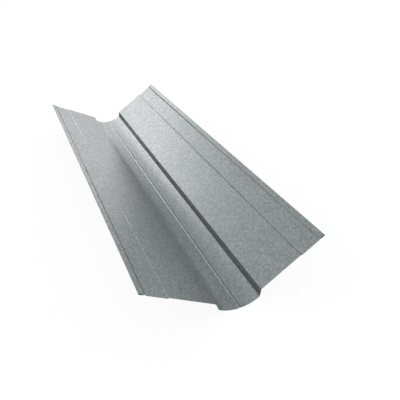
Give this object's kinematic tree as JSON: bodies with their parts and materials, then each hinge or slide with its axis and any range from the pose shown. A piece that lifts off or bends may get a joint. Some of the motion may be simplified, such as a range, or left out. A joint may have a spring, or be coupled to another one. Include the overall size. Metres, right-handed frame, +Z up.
{
  "type": "valley flashing",
  "caption": "Length of folded galvanised sheet for a roof valley: sloping wings with hemmed outer edges rise from a sunken round trough with a low centre rib.",
  "frame": {"origin": "middle of the length and width, at the lowest line of the trough", "axes": "+X across the valley, +Y along the valley, +Z up"},
  "size_m": [0.396, 1.25, 0.115],
  "materials": {
    "galvanised_sheet": "galvanised, fine matt spangle"
  },
  "bodies": {
    "root": {"valley_flashing": "galvanised_sheet"}
  },
  "joints": []
}
